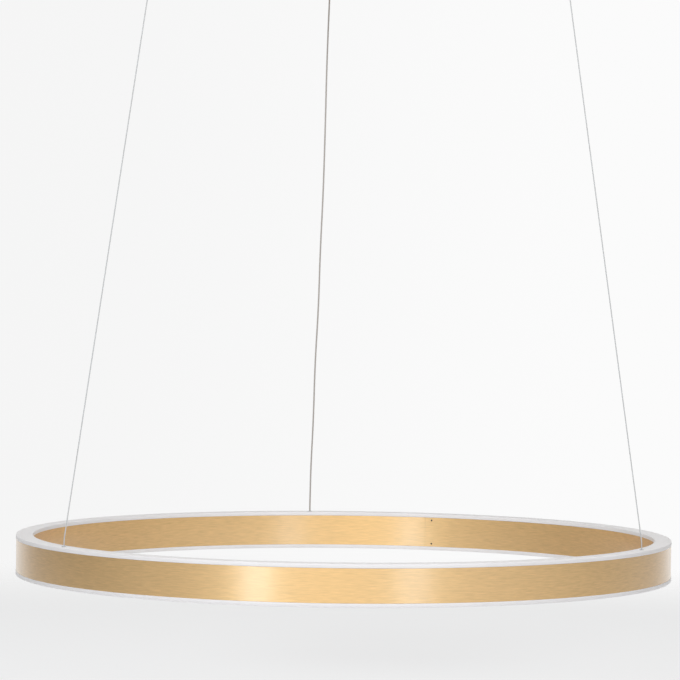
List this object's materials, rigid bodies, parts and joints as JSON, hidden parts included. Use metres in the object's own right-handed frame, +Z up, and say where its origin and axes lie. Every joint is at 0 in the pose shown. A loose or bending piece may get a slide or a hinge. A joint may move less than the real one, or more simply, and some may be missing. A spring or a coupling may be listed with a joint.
{
  "type": "led ring chandelier",
  "caption": "Slim gold ring pendant lit above and below through opal diffusers, hung level on thin wires and a power cord from adjustable ceiling fittings.",
  "frame": {"origin": "on the ceiling plane, on the ring's vertical axis, which is the centre of the circle through the three ceiling screws", "axes": "+Z up out of the ceiling plane, +Y away from the picture's camera, +X to its right; the power cord hangs at the back (+Y)"},
  "size_m": [0.8005, 0.8006, 0.8092],
  "materials": {
    "gold_band": "gold anodised, brushed round the ring",
    "opal_diffuser": "opal acrylic, satin",
    "light_board": "white solder mask",
    "light_chip": "phosphor in a white frame",
    "splice_steel": "zinc plated",
    "black_screw": "blackened",
    "plated_brass": "nickel plated",
    "crimp_sleeve": "tin plated",
    "clear_bush": "clear nylon",
    "steel_wire": "steel wire in a clear sheath",
    "power_cord": "clear sheath over tinned cores",
    "core_insulation": "insulated core",
    "gold_fitting": "brushed gold",
    "bearing_steel": "hardened steel",
    "bracket_steel": "zinc plated",
    "driver_plastic": "white moulded plastic",
    "circuit_board": "green laminate",
    "transformer": "ferrite core and taped winding",
    "capacitor": "sleeved can",
    "terminal_plastic": "white moulded plastic"
  },
  "bodies": {
    "ceiling": {"canopy_bracket": "bracket_steel", "canopy_cover": "gold_fitting", "canopy_thumb_screws": "gold_fitting", "ceiling_base_left": "bracket_steel", "ceiling_base_right": "bracket_steel", "ceiling_cup_left": "gold_fitting", "ceiling_cup_right": "gold_fitting", "driver_board": "circuit_board", "driver_capacitors": "capacitor", "driver_case": "driver_plastic", "driver_lid": "driver_plastic", "driver_transformer": "transformer", "earth_screw": "bracket_steel", "gripper_body_back": "gold_fitting", "gripper_body_left": "gold_fitting", "gripper_body_right": "gold_fitting", "gripper_lock_nuts": "plated_brass", "gripper_spring_back": "bearing_steel", "gripper_spring_left": "bearing_steel", "gripper_spring_right": "bearing_steel", "gripper_stopper_back": "plated_brass", "gripper_stopper_left": "plated_brass", "gripper_stopper_right": "plated_brass", "mains_leads": "core_insulation", "power_cord_tail": "power_cord", "terminal_block": "terminal_plastic", "terminal_screws": "bracket_steel"},
    "ring": {"anchor_nuts": "plated_brass", "cord_ferrule": "crimp_sleeve", "feed_leads": "core_insulation", "hanging_wire_left": "steel_wire", "hanging_wire_right": "steel_wire", "lower_diffuser": "opal_diffuser", "lower_light_board_front": "light_board", "lower_light_board_rear_left": "light_board", "lower_light_board_rear_right": "light_board", "lower_light_chips": "light_chip", "lower_splice_bar": "splice_steel", "power_cord": "power_cord", "ring_band": "gold_band", "splice_screws": "black_screw", "upper_diffuser": "opal_diffuser", "upper_light_board_front": "light_board", "upper_light_board_rear_left": "light_board", "upper_light_board_rear_right": "light_board", "upper_light_chips": "light_chip", "upper_splice_bar": "splice_steel", "wire_anchor_back": "plated_brass", "wire_anchor_left": "plated_brass", "wire_anchor_right": "plated_brass", "wire_ferrules": "crimp_sleeve", "wire_grommets": "clear_bush"},
    "plunger_back": {"release_plunger_back": "plated_brass", "gripper_balls_back": "bearing_steel"},
    "plunger_left": {"release_plunger_left": "plated_brass", "gripper_balls_left": "bearing_steel"},
    "plunger_right": {"release_plunger_right": "plated_brass", "gripper_balls_right": "bearing_steel"}
  },
  "joints": [
    {"name": "ring_height", "type": "slide", "parent": "ceiling", "child": "ring", "axis": [0, 0, 1], "range_m": [0, 0.4], "deforming": ["power_cord", "hanging_wire_left", "hanging_wire_right"]},
    {"name": "release_back", "type": "slide", "parent": "ceiling", "child": "plunger_back", "axis": [0, 0, 1], "range_m": [0, 0.002], "stiffness_N_per_m": 600, "springref_m": -0.002, "deforming": ["gripper_spring_back"]},
    {"name": "release_left", "type": "slide", "parent": "ceiling", "child": "plunger_left", "axis": [0, 0, 1], "range_m": [0, 0.002], "stiffness_N_per_m": 600, "springref_m": -0.002, "deforming": ["gripper_spring_left"]},
    {"name": "release_right", "type": "slide", "parent": "ceiling", "child": "plunger_right", "axis": [0, 0, 1], "range_m": [0, 0.002], "stiffness_N_per_m": 600, "springref_m": -0.002, "deforming": ["gripper_spring_right"]}
  ]
}
